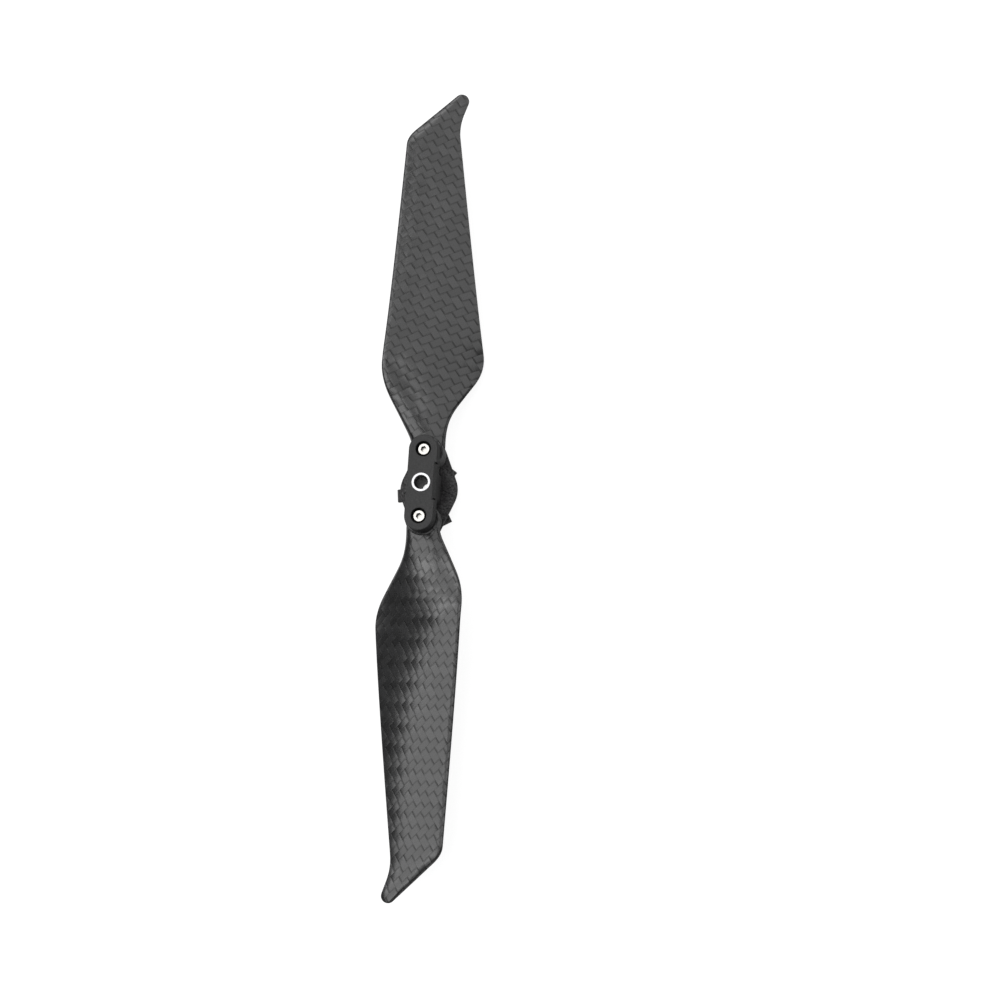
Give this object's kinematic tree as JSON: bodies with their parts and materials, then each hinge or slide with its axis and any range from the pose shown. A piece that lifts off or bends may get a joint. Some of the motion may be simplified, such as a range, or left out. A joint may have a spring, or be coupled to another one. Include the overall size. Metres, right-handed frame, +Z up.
{
  "type": "folding propeller",
  "caption": "Folding quick-release propeller: twill carbon blades with raked tips that hinge on a moulded hub, which locks onto a motor by bayonet claws.",
  "frame": {"origin": "on the rotor axis, in the plane of the bottoms of the three bayonet claws", "axes": "+Z up the rotor axis, away from the motor; +Y along blade_a and the long side of the cover; +X to the right of blade_a seen from above"},
  "size_m": [0.0264, 0.221, 0.0159],
  "materials": {
    "carbon_twill": "satin clear-coated carbon twill, weave at 45 degrees to the blade",
    "moulded_nylon": "fine matt moulded texture",
    "marker_silver": "bright, lightly brushed",
    "screw_steel": "bright stainless",
    "washer_steel": "ground stainless",
    "brass": "turned brass"
  },
  "bodies": {
    "hub": {"hub_base": "moulded_nylon", "hub_cover": "moulded_nylon", "marker_ring": "marker_silver", "pivot_screw_a": "screw_steel", "thread_insert_a": "brass", "washer_lower_a": "washer_steel", "washer_upper_a": "washer_steel", "pivot_screw_b": "screw_steel", "thread_insert_b": "brass", "washer_lower_b": "washer_steel", "washer_upper_b": "washer_steel"},
    "blade_a": {"blade_a": "carbon_twill", "root_bush_a": "brass"},
    "blade_b": {"blade_b": "carbon_twill", "root_bush_b": "brass"}
  },
  "joints": [
    {"name": "blade_a_fold", "type": "hinge", "parent": "hub", "child": "blade_a", "pos_m": [0, 0.00905, 0.0092], "axis": [0, 0, 1], "range_deg": [-90, 90]},
    {"name": "blade_b_fold", "type": "hinge", "parent": "hub", "child": "blade_b", "pos_m": [0, -0.00905, 0.0092], "axis": [0, 0, 1], "range_deg": [-90, 90]}
  ]
}
